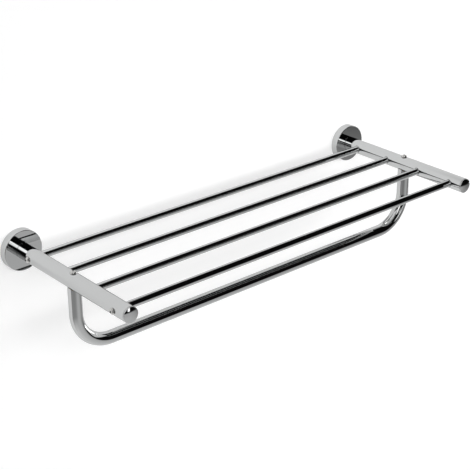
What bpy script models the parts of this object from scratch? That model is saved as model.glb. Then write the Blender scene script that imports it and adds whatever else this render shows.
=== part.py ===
"""Wall-mounted towel rack: a shelf of four rods between two arms, and a towel bar hung below it.

X runs along the bars and Z is up. The wall is the plane Y = 0, and the rack stands out from it to -Y.
The origin lies on the wall, midway between the centres of the two flanges.
Each arm has a frame of its own: its Z points away from the wall and its Y points up.
"""

import math

import bmesh
import bpy

# Sizes of the whole rack
ARM_SPACING = 0.5575  # between the axes of the two arms
ARM_REACH = 0.2297  # from the wall to the rim of the arm's end cap
CLEARANCE = 0.0003  # left between pieces that touch or sit in each other
OVERRUN = 0.002  # how far a cutter runs past the surface that it cuts
CHAMFER = 0.0004  # broken edge of turned pieces

# Arms
ARM_RADIUS = 0.0100
ARM_WALL = 0.0020
CAP_RIM = 0.0015  # straight side of the end cap in front of the tube
CAP_CROWN = 0.0010  # how far the cap's face bulges past its rim
CAP_SPIGOT = 0.0080  # length inside the tube
CAP_WALL = 0.0022
PLUG_LENGTH = 0.0160

# Wall flanges and the plates behind them
FLANGE_RADIUS = 0.0263
FLANGE_DEPTH = 0.0106
FLANGE_WALL = 0.0025
FLANGE_FACE = 0.0025
FLANGE_EDGE = 0.0007  # rounding between the face and the side
PLATE_BASE = 0.0025
PLATE_RIM = 0.0035
PLATE_DEPTH = 0.0070
GROOVE_DEPTH = 0.0012  # groove round the plate that the grub screw bears in
GROOVE_WIDTH = 0.0048
SLOT_SPACING = 0.0250  # between the centres of the plate's two slots
SLOT_WIDTH = 0.0050
SLOT_TRAVEL = 0.0040  # how far a wall screw can be shifted along its slot

# Shelf
BAR_COUNT = 4
BAR_RADIUS = 0.0048
REAR_BAR_DISTANCE = 0.0355  # from the wall to the rear bar's axis
FRONT_BAR_INSET = 0.0210  # from the front bar's axis to the rim of the arm's end cap

# Towel bar
TOWEL_RADIUS = 0.0083
TOWEL_WALL = 0.0015
TOWEL_BEND = 0.0472  # radius of the bends, to the tube's axis
TOWEL_LEG = 0.0433  # straight part of a leg, below the arm's axis
TOWEL_SETBACK = 0.0036  # the legs stand this much nearer the wall than midway between bars 2 and 3
INSERT_LENGTH = 0.0120  # of the part inside the leg
INSERT_NECK_RADIUS = 0.0050

# Screws: the small size holds the bars, the large one the flanges
SMALL_SHANK_RADIUS = 0.0020
SMALL_HEAD_RADIUS = 0.0040
SMALL_HEAD_HEIGHT = 0.0031
SMALL_LENGTH = 0.0100
SMALL_SOCKET = 0.0025  # across the flats
SMALL_SOCKET_DEPTH = 0.0013
SEAT_DEPTH = 0.0005  # flat seat cut in the arm under a screw head
LARGE_SHANK_RADIUS = 0.0030
LARGE_HEAD_RADIUS = 0.0052
LARGE_HEAD_HEIGHT = 0.0030
LARGE_LENGTH = 0.0140
LARGE_SOCKET = 0.0040
LARGE_SOCKET_DEPTH = 0.0018
BORE_RUNOUT = 0.0015  # tapped bore past the tip of its screw
GRUB_RADIUS = 0.0020
GRUB_RECESS = 0.0003  # below the side of the flange
GRUB_SOCKET = 0.0020
GRUB_SOCKET_DEPTH = 0.0015
GRUB_POINT = 0.0008  # height of the bevelled point

# Shares of the size that each follows
HEAD_RIM_SHARE = 0.25  # upright rim of a domed screw head
GRUB_FLAT_SHARE = 0.5  # flat end of the grub screw's point

# Facets of round pieces
ARM_SIDES = 32
FLANGE_SIDES = 40
BAR_SIDES = 20
SCREW_SIDES = 16
HEX_SIDES = 6
TOWEL_BEVEL_RESOLUTION = 8
BEND_STEPS = 10
ARC_STEPS = 4
SMOOTH_ANGLE = math.radians(30)

# Sizes that follow from those above
ARM_BORE = ARM_RADIUS - ARM_WALL
FLANGE_BORE = FLANGE_RADIUS - FLANGE_WALL
PLATE_RADIUS = FLANGE_BORE - CLEARANCE
ARM_START = FLANGE_DEPTH + CLEARANCE
ARM_END = ARM_REACH - CAP_RIM - CLEARANCE
BAR_PITCH = (ARM_REACH - FRONT_BAR_INSET - REAR_BAR_DISTANCE) / (BAR_COUNT - 1)
BAR_DISTANCES = [REAR_BAR_DISTANCE + step * BAR_PITCH for step in range(BAR_COUNT)]
TOWEL_DISTANCE = (BAR_DISTANCES[1] + BAR_DISTANCES[2]) / 2 - TOWEL_SETBACK
TOWEL_BORE = TOWEL_RADIUS - TOWEL_WALL
SEAT = ARM_RADIUS - SEAT_DEPTH
SMALL_TIP = SEAT + CLEARANCE - SMALL_LENGTH
SMALL_BORE_END = SMALL_TIP - BORE_RUNOUT

FINISHES = {
    "chrome": ((0.80, 0.81, 0.83, 1.0), 1.0, 0.05),
    "steel": ((0.62, 0.62, 0.63, 1.0), 1.0, 0.30),
    "brass": ((0.72, 0.58, 0.30, 1.0), 1.0, 0.35),
}


def clear_scene():
    for obj in list(bpy.data.objects):
        bpy.data.objects.remove(obj, do_unlink=True)


def make_collection(name):
    collection = bpy.data.collections.new(name)
    bpy.context.scene.collection.children.link(collection)
    return collection


def give_material(obj, finish):
    colour, metallic, roughness = FINISHES[finish]
    material = bpy.data.materials.new(f"{obj.name}_{finish}")
    material.use_nodes = True
    shader = material.node_tree.nodes["Principled BSDF"]
    shader.inputs["Base Color"].default_value = colour
    shader.inputs["Metallic"].default_value = metallic
    shader.inputs["Roughness"].default_value = roughness
    obj.data.materials.clear()
    obj.data.materials.append(material)


def smooth(mesh):
    mesh.shade_smooth()
    mesh.set_sharp_from_angle(angle=SMOOTH_ANGLE)


def place(obj, parent, location=(0, 0, 0), rotation=(0, 0, 0)):
    obj.parent = parent
    obj.location = location
    obj.rotation_euler = rotation
    return obj


def evaluated_mesh(obj):
    bpy.context.view_layer.update()
    depsgraph = bpy.context.evaluated_depsgraph_get()
    return bpy.data.meshes.new_from_object(obj.evaluated_get(depsgraph), depsgraph=depsgraph)


def turned(name, profile, sides, collection, ring=False):
    """A solid turned about its Z. The profile is (radius, height) points, down the outer side.

    With ring set, the profile closes on itself and leaves a bore. Otherwise it starts and ends on the axis.
    """
    mesh = bpy.data.meshes.new(name)
    points = [(radius, 0, height) for radius, height in profile]
    edges = [(i, i + 1) for i in range(len(points) - 1)]
    if ring:
        edges.append((len(points) - 1, 0))
    mesh.from_pydata(points, edges, [])
    guide = bpy.data.objects.new(f"{name}_profile", mesh)
    collection.objects.link(guide)
    screw = guide.modifiers.new("turn", "SCREW")
    screw.axis = "Z"
    screw.steps = sides
    screw.render_steps = sides
    screw.use_merge_vertices = True
    screw.merge_threshold = CLEARANCE / 100
    solid = evaluated_mesh(guide)
    bpy.data.objects.remove(guide)
    solid.name = name
    smooth(solid)
    obj = bpy.data.objects.new(name, solid)
    collection.objects.link(obj)
    return obj


def cylinder(name, radius, length, sides, collection):
    """A closed cylinder along its Z, centred on its origin."""
    mesh = bpy.data.meshes.new(name)
    shape = bmesh.new()
    bmesh.ops.create_cone(
        shape, cap_ends=True, segments=sides, radius1=radius, radius2=radius, depth=length
    )
    shape.to_mesh(mesh)
    shape.free()
    obj = bpy.data.objects.new(name, mesh)
    collection.objects.link(obj)
    return obj


def mark_cutter(obj):
    obj.hide_render = True
    obj.display_type = "WIRE"
    return obj


def cut(obj, cutter):
    modifier = obj.modifiers.new(f"cut_{cutter.name}", "BOOLEAN")
    modifier.operation = "DIFFERENCE"
    modifier.solver = "EXACT"
    modifier.object = cutter


def dome(radius, low, high):
    """Points of a domed top, from its centre down to its rim."""
    angles = [math.pi / 2 * step / ARC_STEPS for step in range(ARC_STEPS + 1)]
    return [(radius * math.sin(angle), low + (high - low) * math.cos(angle)) for angle in angles]


def crown(radius, low, rise):
    """Points of a shallow spherical face, from its centre out to its rim."""
    sphere = (radius**2 + rise**2) / (2 * rise)
    radii = [radius * step / ARC_STEPS for step in range(ARC_STEPS + 1)]
    return [(r, low + rise - sphere + math.sqrt(sphere**2 - r**2)) for r in radii]


def hex_cutter(name, flats, top, depth, cutters):
    """A hexagonal socket that opens at the height top."""
    corner_radius = flats / 2 / math.cos(math.pi / HEX_SIDES)
    prism = cylinder(name, corner_radius, depth + OVERRUN, HEX_SIDES, cutters)
    prism.location = (0, 0, top - depth / 2 + OVERRUN / 2)
    return mark_cutter(prism)


def button_screw(name, shank, head, height, length, socket, socket_depth, parts, cutters):
    """A domed screw: its head stands on Z = 0 and its shank goes down."""
    profile = dome(head, height * HEAD_RIM_SHARE, height)
    profile += [
        (head, 0),
        (shank, 0),
        (shank, -length + CHAMFER),
        (shank - CHAMFER, -length),
        (0, -length),
    ]
    screw = turned(name, profile, SCREW_SIDES, parts)
    key = hex_cutter(f"{name}_socket", socket, height, socket_depth, cutters)
    key.parent = screw
    cut(screw, key)
    give_material(screw, "steel")
    return screw


def small_screw(name, parts, cutters):
    return button_screw(
        name,
        SMALL_SHANK_RADIUS,
        SMALL_HEAD_RADIUS,
        SMALL_HEAD_HEIGHT,
        SMALL_LENGTH,
        SMALL_SOCKET,
        SMALL_SOCKET_DEPTH,
        parts,
        cutters,
    )


def reach_in_bore(radius):
    """How far from the arm's axis a flat end of this radius can go before it meets the bore's wall."""
    return math.sqrt((ARM_BORE - CLEARANCE) ** 2 - radius**2)


def seat_cutter(name, cutters):
    """Cuts the flat seat and the hole of a small screw. Its Z = 0 is the arm's axis."""
    hole = SMALL_SHANK_RADIUS + CLEARANCE
    profile = [
        (0, ARM_RADIUS + OVERRUN),
        (SMALL_HEAD_RADIUS + CLEARANCE, ARM_RADIUS + OVERRUN),
        (SMALL_HEAD_RADIUS + CLEARANCE, SEAT),
        (hole, SEAT),
        (hole, 0),
        (0, 0),
    ]
    return mark_cutter(turned(name, profile, SCREW_SIDES, cutters))


def make_arm(name, frame, side, parts, cutters):
    profile = [
        (ARM_BORE, ARM_END),
        (ARM_RADIUS, ARM_END),
        (ARM_RADIUS, ARM_START),
        (ARM_BORE, ARM_START),
    ]
    arm = place(turned(name, profile, ARM_SIDES, parts, ring=True), frame)
    hole_radius = BAR_RADIUS + CLEARANCE
    hole_length = ARM_RADIUS + OVERRUN
    inward = (0, -side * math.pi / 2, 0)
    for index, distance in enumerate(BAR_DISTANCES):
        hole = cylinder(f"{name}_bar_hole_{index + 1}", hole_radius, hole_length, BAR_SIDES, cutters)
        place(mark_cutter(hole), frame, (-side * hole_length / 2, 0, distance), inward)
        cut(arm, hole)
    for end, distance in (("rear", BAR_DISTANCES[0]), ("front", BAR_DISTANCES[-1])):
        seat = seat_cutter(f"{name}_{end}_seat", cutters)
        place(seat, frame, (0, 0, distance), (0, side * math.pi / 2, 0))
        cut(arm, seat)
    top_seat = seat_cutter(f"{name}_top_seat", cutters)
    place(top_seat, frame, (0, 0, TOWEL_DISTANCE), (-math.pi / 2, 0, 0))
    cut(arm, top_seat)
    neck_radius = INSERT_NECK_RADIUS + CLEARANCE
    neck_hole = cylinder(f"{name}_neck_hole", neck_radius, hole_length, BAR_SIDES, cutters)
    neck_place = (0, -hole_length / 2, TOWEL_DISTANCE)
    place(mark_cutter(neck_hole), frame, neck_place, (-math.pi / 2, 0, 0))
    cut(arm, neck_hole)
    give_material(arm, "chrome")


def make_cap(name, frame, parts):
    spigot = ARM_BORE - CLEARANCE
    hollow = spigot - CAP_WALL
    back = ARM_REACH - CAP_RIM
    profile = crown(ARM_RADIUS - CHAMFER, ARM_REACH, CAP_CROWN)
    profile += [
        (ARM_RADIUS, ARM_REACH - CHAMFER),
        (ARM_RADIUS, back),
        (spigot, back),
        (spigot, back - CAP_SPIGOT),
        (hollow, back - CAP_SPIGOT),
        (hollow, back),
        (0, back),
    ]
    place(turned(name, profile, ARM_SIDES, parts), frame)
    give_material(parts.objects[name], "chrome")


def make_plug(name, frame, parts):
    radius = ARM_BORE - CLEARANCE
    bore = LARGE_SHANK_RADIUS + CLEARANCE
    front = ARM_START + PLUG_LENGTH
    profile = [
        (bore, front),
        (radius - CHAMFER, front),
        (radius, front - CHAMFER),
        (radius, ARM_START),
        (bore, ARM_START),
    ]
    place(turned(name, profile, BAR_SIDES, parts, ring=True), frame)
    give_material(parts.objects[name], "brass")


def make_flange(name, frame, parts, cutters):
    hole = LARGE_SHANK_RADIUS + CLEARANCE
    edge_middle = (FLANGE_RADIUS - FLANGE_EDGE, FLANGE_DEPTH - FLANGE_EDGE)
    angles = [math.pi / 2 * (1 - step / ARC_STEPS) for step in range(ARC_STEPS + 1)]
    rounding = [
        (edge_middle[0] + FLANGE_EDGE * math.cos(a), edge_middle[1] + FLANGE_EDGE * math.sin(a))
        for a in angles
    ]
    profile = [(hole, FLANGE_DEPTH)]
    profile += rounding
    profile += [
        (FLANGE_RADIUS, 0),
        (FLANGE_BORE, 0),
        (FLANGE_BORE, FLANGE_DEPTH - FLANGE_FACE),
        (hole, FLANGE_DEPTH - FLANGE_FACE),
    ]
    flange = place(turned(name, profile, FLANGE_SIDES, parts, ring=True), frame)
    length = FLANGE_WALL + 2 * OVERRUN
    hole = cylinder(f"{name}_grub_hole", GRUB_RADIUS + CLEARANCE, length, SCREW_SIDES, cutters)
    middle = FLANGE_RADIUS - FLANGE_WALL / 2
    place(mark_cutter(hole), frame, (0, -middle, PLATE_DEPTH / 2), (math.pi / 2, 0, 0))
    cut(flange, hole)
    give_material(flange, "chrome")


def slot_cutter(name, cutters):
    """A slot with round ends along its Y, cut through along Z."""
    radius = SLOT_WIDTH / 2
    curve = bpy.data.curves.new(name, "CURVE")
    curve.dimensions = "2D"
    curve.fill_mode = "BOTH"
    curve.extrude = PLATE_BASE / 2 + OVERRUN
    points = []
    for end in (1, -1):
        for step in range(BEND_STEPS + 1):
            angle = math.pi * step / BEND_STEPS + (0 if end > 0 else math.pi)
            points.append((radius * math.cos(angle), end * SLOT_TRAVEL / 2 + radius * math.sin(angle)))
    spline = curve.splines.new("POLY")
    spline.points.add(len(points) - 1)
    for point, (x, y) in zip(spline.points, points):
        point.co = (x, y, 0, 1)
    spline.use_cyclic_u = True
    guide = bpy.data.objects.new(f"{name}_outline", curve)
    cutters.objects.link(guide)
    mesh = evaluated_mesh(guide)
    bpy.data.objects.remove(guide)
    weld_caps(mesh)
    slot = bpy.data.objects.new(name, mesh)
    cutters.objects.link(slot)
    return mark_cutter(slot)


def weld_caps(mesh):
    shape = bmesh.new()
    shape.from_mesh(mesh)
    bmesh.ops.remove_doubles(shape, verts=shape.verts, dist=CLEARANCE / 100)
    bmesh.ops.recalc_face_normals(shape, faces=shape.faces)
    shape.to_mesh(mesh)
    shape.free()


def make_plate(name, frame, parts, cutters):
    groove_low = (PLATE_DEPTH - GROOVE_WIDTH) / 2
    groove_high = (PLATE_DEPTH + GROOVE_WIDTH) / 2
    rim_bore = PLATE_RADIUS - PLATE_RIM
    profile = [
        (0, PLATE_BASE),
        (rim_bore, PLATE_BASE),
        (rim_bore, PLATE_DEPTH),
        (PLATE_RADIUS, PLATE_DEPTH),
        (PLATE_RADIUS, groove_high),
        (PLATE_RADIUS - GROOVE_DEPTH, groove_high),
        (PLATE_RADIUS - GROOVE_DEPTH, groove_low),
        (PLATE_RADIUS, groove_low),
        (PLATE_RADIUS, 0),
        (0, 0),
    ]
    plate = place(turned(name, profile, FLANGE_SIDES, parts), frame)
    for number, end in ((1, -1), (2, 1)):
        slot = slot_cutter(f"{name}_slot_{number}", cutters)
        place(slot, frame, (end * SLOT_SPACING / 2, 0, PLATE_BASE / 2))
        cut(plate, slot)
    give_material(plate, "steel")


def make_grub_screw(name, frame, parts, cutters):
    outer = FLANGE_RADIUS - GRUB_RECESS
    length = outer - (PLATE_RADIUS - GROOVE_DEPTH + CLEARANCE)
    profile = [
        (0, 0),
        (GRUB_RADIUS, 0),
        (GRUB_RADIUS, GRUB_POINT - length),
        (GRUB_RADIUS * GRUB_FLAT_SHARE, -length),
        (0, -length),
    ]
    grub = turned(name, profile, SCREW_SIDES, parts)
    key = hex_cutter(f"{name}_socket", GRUB_SOCKET, 0, GRUB_SOCKET_DEPTH, cutters)
    key.parent = grub
    cut(grub, key)
    place(grub, frame, (0, -outer, PLATE_DEPTH / 2), (math.pi / 2, 0, 0))
    give_material(grub, "steel")


def make_flange_screw(name, frame, parts, cutters):
    screw = button_screw(
        name,
        LARGE_SHANK_RADIUS,
        LARGE_HEAD_RADIUS,
        LARGE_HEAD_HEIGHT,
        LARGE_LENGTH,
        LARGE_SOCKET,
        LARGE_SOCKET_DEPTH,
        parts,
        cutters,
    )
    underside = FLANGE_DEPTH - FLANGE_FACE - CLEARANCE
    place(screw, frame, (0, 0, underside), (math.pi, 0, 0))


def make_insert(name, frame, parts):
    """A tapped insert along its own Z, which points up from the leg into the arm."""
    top = reach_in_bore(INSERT_NECK_RADIUS)
    bore = SMALL_SHANK_RADIUS + CLEARANCE
    body = TOWEL_BORE - CLEARANCE
    shoulder = -ARM_RADIUS - CLEARANCE
    bottom = shoulder - INSERT_LENGTH
    profile = [
        (0, SMALL_BORE_END),
        (bore, SMALL_BORE_END),
        (bore, top),
        (INSERT_NECK_RADIUS - CHAMFER, top),
        (INSERT_NECK_RADIUS, top - CHAMFER),
        (INSERT_NECK_RADIUS, shoulder),
        (body, shoulder),
        (body, bottom + CHAMFER),
        (body - CHAMFER, bottom),
        (0, bottom),
    ]
    insert = turned(name, profile, BAR_SIDES, parts)
    place(insert, frame, (0, 0, TOWEL_DISTANCE), (-math.pi / 2, 0, 0))
    give_material(insert, "brass")


def make_shelf_bar(name, distance, tapped, parts):
    """A rod between the arms. A tapped rod has a bore for a screw in each end."""
    end = ARM_SPACING / 2 + reach_in_bore(BAR_RADIUS)
    bore = SMALL_SHANK_RADIUS + CLEARANCE
    bore_end = ARM_SPACING / 2 + SMALL_BORE_END
    centre = [(0, bore_end), (bore, bore_end), (bore, end)] if tapped else [(0, end)]
    upper = centre + [(BAR_RADIUS - CHAMFER, end), (BAR_RADIUS, end - CHAMFER)]
    lower = [(radius, -height) for radius, height in reversed(upper)]
    bar = turned(name, upper + lower, BAR_SIDES, parts)
    place(bar, None, (0, -distance, 0), (0, math.pi / 2, 0))
    give_material(bar, "chrome")


def towel_route():
    """Points (x, z) along the towel bar's axis, from the left leg's top to the right leg's top."""
    leg = ARM_SPACING / 2
    middle_x = leg - TOWEL_BEND
    right = [(leg, 0)]
    for step in range(BEND_STEPS + 1):
        angle = math.pi / 2 * step / BEND_STEPS
        x = middle_x + TOWEL_BEND * math.cos(angle)
        z = -TOWEL_LEG - TOWEL_BEND * math.sin(angle)
        right.append((x, z))
    left = [(-x, z) for x, z in right]
    return left + right[::-1]


def make_towel_bar(name, parts, cutters):
    curve = bpy.data.curves.new(name, "CURVE")
    curve.dimensions = "3D"
    curve.bevel_depth = TOWEL_RADIUS
    curve.bevel_resolution = TOWEL_BEVEL_RESOLUTION
    route = towel_route()
    spline = curve.splines.new("POLY")
    spline.points.add(len(route) - 1)
    for point, (x, z) in zip(spline.points, route):
        point.co = (x, -TOWEL_DISTANCE, z, 1)
    guide = bpy.data.objects.new(f"{name}_route", curve)
    cutters.objects.link(guide)
    mesh = evaluated_mesh(guide)
    bpy.data.objects.remove(guide)
    weld_caps(mesh)
    smooth(mesh)
    mesh.name = name
    bar = bpy.data.objects.new(name, mesh)
    parts.objects.link(bar)
    wall = bar.modifiers.new("wall", "SOLIDIFY")
    wall.thickness = TOWEL_WALL
    wall.offset = -1
    wall.use_even_offset = True
    for side_name, side in (("left", -1), ("right", 1)):
        length = 2 * (TOWEL_RADIUS + OVERRUN)
        saddle = cylinder(f"{name}_{side_name}_saddle", ARM_RADIUS + CLEARANCE, length, ARM_SIDES, cutters)
        place(mark_cutter(saddle), None, (side * ARM_SPACING / 2, -TOWEL_DISTANCE, 0), (math.pi / 2, 0, 0))
        cut(bar, saddle)
    give_material(bar, "chrome")


def make_side(label, side, parts, cutters):
    """Everything on one arm. Side is -1 for the left and 1 for the right."""
    frame = bpy.data.objects.new(f"{label}_frame", None)
    parts.objects.link(frame)
    place(frame, None, (side * ARM_SPACING / 2, 0, 0), (math.pi / 2, 0, 0))
    make_plate(f"{label}_wall_plate", frame, parts, cutters)
    make_flange(f"{label}_flange", frame, parts, cutters)
    make_grub_screw(f"{label}_grub_screw", frame, parts, cutters)
    make_flange_screw(f"{label}_flange_screw", frame, parts, cutters)
    make_plug(f"{label}_arm_plug", frame, parts)
    make_arm(f"{label}_arm", frame, side, parts, cutters)
    make_cap(f"{label}_arm_cap", frame, parts)
    make_insert(f"{label}_leg_insert", frame, parts)
    head = SEAT + CLEARANCE
    top_screw = small_screw(f"{label}_towel_bar_screw", parts, cutters)
    place(top_screw, frame, (0, head, TOWEL_DISTANCE), (-math.pi / 2, 0, 0))
    for end, distance in (("rear", BAR_DISTANCES[0]), ("front", BAR_DISTANCES[-1])):
        screw = small_screw(f"{label}_{end}_bar_screw", parts, cutters)
        place(screw, frame, (side * head, 0, distance), (0, side * math.pi / 2, 0))


def main():
    clear_scene()
    parts = make_collection("towel_rack_with_shelf")
    cutters = make_collection("cutters")
    make_side("left", -1, parts, cutters)
    make_side("right", 1, parts, cutters)
    for index, distance in enumerate(BAR_DISTANCES):
        tapped = index in (0, BAR_COUNT - 1)
        make_shelf_bar(f"shelf_bar_{index + 1}", distance, tapped, parts)
    make_towel_bar("towel_bar", parts, cutters)
    bpy.context.view_layer.update()


main()
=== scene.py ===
"""Looks of the wall-mounted towel rack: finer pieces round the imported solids, in a plain white studio.

X runs along the rods, +Y goes into the wall and Z is up, in metres. The origin is on the wall, midway
between the flanges. What sits on an arm is drawn along the arm's axis, with heights counted from the wall,
and is then turned so that height runs to -Y.
"""

import math

import bpy
import numpy as np
from mathutils import Matrix, Vector


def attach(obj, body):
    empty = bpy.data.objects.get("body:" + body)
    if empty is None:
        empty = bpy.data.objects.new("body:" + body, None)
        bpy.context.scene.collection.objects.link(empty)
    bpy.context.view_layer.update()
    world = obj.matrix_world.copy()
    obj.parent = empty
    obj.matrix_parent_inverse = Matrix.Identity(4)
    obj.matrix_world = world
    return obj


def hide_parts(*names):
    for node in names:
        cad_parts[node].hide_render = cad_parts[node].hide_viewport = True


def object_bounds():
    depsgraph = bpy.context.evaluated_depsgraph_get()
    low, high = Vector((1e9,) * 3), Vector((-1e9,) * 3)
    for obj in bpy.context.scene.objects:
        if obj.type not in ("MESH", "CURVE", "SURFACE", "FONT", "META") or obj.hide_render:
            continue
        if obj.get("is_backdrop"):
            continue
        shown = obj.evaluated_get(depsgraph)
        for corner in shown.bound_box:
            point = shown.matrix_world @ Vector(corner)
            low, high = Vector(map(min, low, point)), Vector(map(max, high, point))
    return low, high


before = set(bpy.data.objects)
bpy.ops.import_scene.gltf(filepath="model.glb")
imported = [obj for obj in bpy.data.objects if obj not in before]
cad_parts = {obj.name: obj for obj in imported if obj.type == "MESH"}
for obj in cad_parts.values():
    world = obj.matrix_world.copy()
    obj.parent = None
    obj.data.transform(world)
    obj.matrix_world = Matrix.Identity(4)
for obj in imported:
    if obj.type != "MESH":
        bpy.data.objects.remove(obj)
cad_box = [list(corner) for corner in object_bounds()]

MM = 0.001
SIDES = (("left", -1), ("right", 1))

# Rack
ARM_SPACING = 0.5575
ARM_REACH = 0.2297
CLEARANCE = 0.0003
CHAMFER = 0.0004  # on the hidden turned parts and at the ends of the screws

# Arms, with the caps and plugs in their ends
ARM_RADIUS = 0.0100
ARM_BORE = 0.0080
ARM_START = 0.0109
ARM_END = 0.2279
DEBURR = 0.00015
CAP_BACK = 0.2282
CAP_CROWN = 0.0010  # how far the cap's face bulges past its rim
CAP_ROUNDING = 0.0006
CAP_SPIGOT = 0.0080
CAP_HOLLOW = 0.0055
PLUG_LENGTH = 0.0160
PLUG_THREAD = 0.0004  # depth of the grooves in a plug's bore

# Flanges and the wall plates inside them
FLANGE_RADIUS = 0.0263
FLANGE_DEPTH = 0.0106
FLANGE_BORE = 0.0238
FLANGE_INSIDE = 0.0081
FLANGE_ROUNDING = 0.0008
PLATE_RADIUS = 0.0235
PLATE_BASE = 0.0025
PLATE_DEPTH = 0.0070
PLATE_RIM_BORE = 0.0200
GROOVE_DEPTH = 0.0012
GROOVE_LOW = 0.0011
GROOVE_HIGH = 0.0059
SLOT_SPACING = 0.0250
SLOT_WIDTH = 0.0050
SLOT_TRAVEL = 0.0040

# Shelf rods
ROD_COUNT = 4
ROD_RADIUS = 0.0048
ROD_FIRST = 0.0355
ROD_PITCH = 0.0577333
ROD_CHAMFER = 0.0004
ROD_HALF = 0.28477

# Towel bar
TOWEL_DISTANCE = 0.1185
TOWEL_DROP = 0.0905
TOWEL_RADIUS = 0.0083
TOWEL_BORE = 0.0068
TOWEL_BEND = 0.0472
INSERT_LENGTH = 0.0120
NECK_RADIUS = 0.0050
JOINT_GAP = 0.0006  # the dark line between a leg's coped end and the arm

# Screws: head, height and length, then the socket and the thread
THREAD_DEPTH = 0.00025
THREAD_START = -0.0006  # just below the head, which stands on zero
RIM_SHARE = 0.25  # how much of a head's height is its straight rim
HEAD_SEAT = 0.0098
SEAT_CUT = 0.0095
PAN_SCREW = {"shank": 0.0020, "head": 0.0040, "height": 0.0031, "length": 0.0100}
PAN_SOCKET = {"across": 0.0025, "deep": 0.0013, "pitch": 0.0007}
FLANGE_SCREW = {"shank": 0.0030, "head": 0.0052, "height": 0.0030, "length": 0.0140}
FLANGE_SOCKET = {"across": 0.0040, "deep": 0.0018, "pitch": 0.0010}
SET_SCREW = {"shank": 0.0020, "length": 0.0034, "point": 0.0008}
SET_SOCKET = {"across": 0.0020, "deep": 0.0015, "pitch": 0.0007}
SET_SCREW_START = 0.0260
TAPPED_END = 0.0017  # how far a tapped bore goes past the arm's axis
TAPPED_RADIUS = 0.0023

# Facets round the axis, and steps in the rounds of a profile
ARM_FACETS = 128
FLANGE_FACETS = 192
ROD_FACETS = 48
SCREW_FACETS = 48
TUBE_FACETS = 72
BEND_FACETS = 48
DOME_FACETS = 96
DEBURR_STEPS = 3
CROWN_STEPS = 12
CAP_STEPS = 6
FLANGE_STEPS = 8
HEAD_STEPS = 10
RINGS_A_THREAD = 8

# Cutting tools
CUT = 0.012  # length of a drill
COPE_CUT = 0.030  # length of the cutters that cope the towel bar
OVERRUN = 0.002

# Shading: how near a cut piece's face lies to the round surface that it belongs to, and how much they agree
NEAR = 0.06 * MM
ALIKE = 0.94
SHARP_BEND = math.radians(30)


def linear(code):
    """The linear colour of an sRGB hex code."""
    parts = [int(code[i : i + 2], 16) / 255 for i in (1, 3, 5)]
    return tuple(c / 12.92 if c <= 0.04045 else ((c + 0.055) / 1.055) ** 2.4 for c in parts) + (1.0,)


def add(tree, kind, links=(), **settings):
    """Adds a node. Settings are its properties. Links fill its inputs, in order or by name, each with a
    value, a socket, or a node, which stands for its first output. A list fills an input that takes several.
    """
    node = tree.nodes.new(kind)
    for name, value in settings.items():
        setattr(node, name, value)
    pairs = links.items() if isinstance(links, dict) else enumerate(links)
    for key, value in pairs:
        for item in value if isinstance(value, list) else [value]:
            if isinstance(item, bpy.types.Node):
                item = next(output for output in item.outputs if output.enabled)
            if isinstance(item, bpy.types.NodeSocket):
                tree.links.new(item, node.inputs[key])
            else:
                node.inputs[key].default_value = item
    return node


# Turned shapes: runs of (radius, height) points, each with the slope of the real surface there


def line(start, end, steps=1):
    """A straight run. The surface faces to the left of its way."""
    (r0, z0), (r1, z1) = start, end
    length = math.hypot(r1 - r0, z1 - z0)
    slope = ((z0 - z1) / length, (r1 - r0) / length)
    shares = [step / steps for step in range(steps + 1)]
    return [((r0 + (r1 - r0) * share, z0 + (z1 - z0) * share), slope) for share in shares]


def arc(centre, radius, start, end, steps):
    """A round run, clockwise between two angles in degrees from the outward direction."""
    run = []
    for step in range(steps + 1):
        angle = math.radians(start + (end - start) * step / steps)
        slope = (math.cos(angle), math.sin(angle))
        run.append(((centre[0] + radius * slope[0], centre[1] + radius * slope[1]), slope))
    return run


def path(*corners):
    """Straight runs from corner to corner."""
    return [line(start, end) for start, end in zip(corners, corners[1:])]


def turned(name, runs, facets, place=None):
    """A mesh turned from runs, shaded with the slopes of the real surface."""
    rings, points, faces, slopes = {}, [], [], []

    def ring(point):
        """The points of a ring, or the one point on the axis, made once."""
        key = (round(point[0] * 1e7), round(point[1] * 1e7))  # to a tenth of a micron
        if key not in rings:
            count = 1 if key[0] == 0 else facets
            rings[key] = list(range(len(points), len(points) + count))
            for k in range(count):
                angle = 2 * math.pi * k / facets
                points.append((point[0] * math.cos(angle), point[0] * math.sin(angle), point[1]))
        return rings[key]

    for run in runs:
        for (low, low_slope), (high, high_slope) in zip(run, run[1:]):
            a, b = ring(low), ring(high)
            for k in range(facets):
                corners = [
                    (a[k % len(a)], low_slope, k),
                    (b[k % len(b)], high_slope, k),
                    (b[(k + 1) % len(b)], high_slope, k + 1),
                    (a[(k + 1) % len(a)], low_slope, k + 1),
                ]
                if len(a) == 1:
                    corners.pop()
                elif len(b) == 1:
                    corners.pop(2)
                faces.append([corner[0] for corner in corners])
                for _, (out, up), turn in corners:
                    angle = 2 * math.pi * turn / facets
                    slopes.append((out * math.cos(angle), out * math.sin(angle), up))
    mesh = bpy.data.meshes.new(name)
    mesh.from_pydata(points, [], faces)
    mesh.shade_smooth()
    mesh.normals_split_custom_set(slopes)
    if place is not None:
        mesh.transform(place)
    return mesh


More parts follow.
